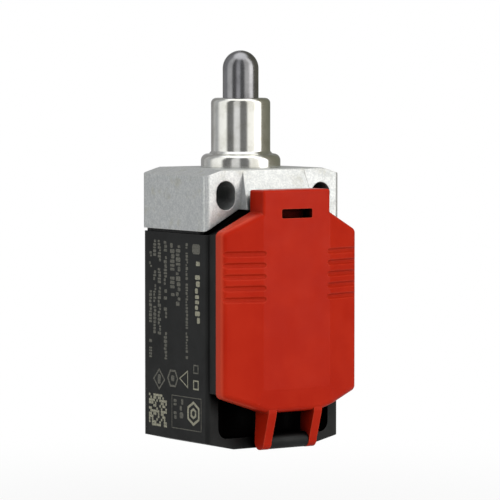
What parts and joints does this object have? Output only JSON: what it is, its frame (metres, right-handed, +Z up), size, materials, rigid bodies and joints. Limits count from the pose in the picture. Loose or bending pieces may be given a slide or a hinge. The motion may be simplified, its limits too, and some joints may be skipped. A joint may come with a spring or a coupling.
{
  "type": "limit switch",
  "caption": "Compact limit switch: a sprung steel plunger in a metal head works double-break contacts in a black body behind a red hinged cover.",
  "frame": {"origin": "on the plunger's axis, in the plane of the body's flat bottom, at the mouth of the cable entry", "axes": "+Z up to the plunger, -Y out of the hinged cover, +Y out of the mounting face, +X to the right seen from the cover"},
  "size_m": [0.031, 0.0297, 0.0753],
  "materials": {
    "plunger_steel": "dark ground steel",
    "guide_nickel": "polished nickel plate",
    "die_cast": "bead-blasted zinc die casting",
    "seal_rubber": "black nitrile",
    "housing_black": "fine-textured glass-filled nylon",
    "cover_red": "satin moulded plastic",
    "spring_steel": "drawn spring wire",
    "screw_steel": "zinc-plated steel",
    "contact_brass": "stamped brass strip",
    "contact_silver": "silver contact rivets",
    "block_plastic": "pale thermoset moulding",
    "carrier_plastic": "white acetal"
  },
  "bodies": {
    "housing": {"guide_sleeve": "guide_nickel", "plunger_wiper": "seal_rubber", "return_spring": "spring_steel", "spring_seat": "screw_steel", "retaining_ring": "spring_steel", "guide_o_ring": "seal_rubber", "head_casting": "die_cast", "head_gasket": "seal_rubber", "head_screws": "screw_steel", "body_housing": "housing_black", "hinge_pin": "screw_steel", "contact_base": "block_plastic", "contact_front": "block_plastic", "carrier_spring": "spring_steel", "fixed_tips": "contact_silver", "nc_terminal_left": "contact_brass", "nc_terminal_right": "contact_brass", "no_terminal_left": "contact_brass", "no_terminal_right": "contact_brass", "terminal_screws": "screw_steel", "clamp_washers": "screw_steel", "block_screws": "screw_steel"},
    "plunger": {"plunger": "plunger_steel"},
    "contact_slide": {"contact_carrier": "carrier_plastic", "nc_bridge": "contact_brass", "nc_bridge_tips": "contact_silver", "nc_spring": "spring_steel", "no_spring": "spring_steel"},
    "open_bridge": {"no_bridge": "contact_brass", "no_bridge_tips": "contact_silver"},
    "cover": {"cover": "cover_red", "cover_gasket": "seal_rubber"}
  },
  "joints": [
    {"name": "plunger_travel", "type": "slide", "parent": "housing", "child": "plunger", "axis": [0, 0, -1], "range_m": [0, 0.006], "stiffness_N_per_m": 900, "springref_m": -0.006, "deforming": ["return_spring"]},
    {"name": "carrier_travel", "type": "slide", "parent": "housing", "child": "contact_slide", "axis": [0, 0, -1], "range_m": [0, 0.006], "deforming": ["carrier_spring", "no_spring"]},
    {"name": "open_bridge_travel", "type": "slide", "parent": "housing", "child": "open_bridge", "axis": [0, 0, -1], "range_m": [0, 0.0025]},
    {"name": "cover_hinge", "type": "hinge", "parent": "housing", "child": "cover", "pos_m": [0, -0.015, 0.00155], "axis": [1, 0, 0], "range_deg": [0, 110]}
  ],
  "couplings": [
    {"joint": "carrier_travel", "follows": "plunger_travel", "ratio": 1},
    {"joint": "open_bridge_travel", "follows": "plunger_travel", "ratio": 0.41667}
  ]
}
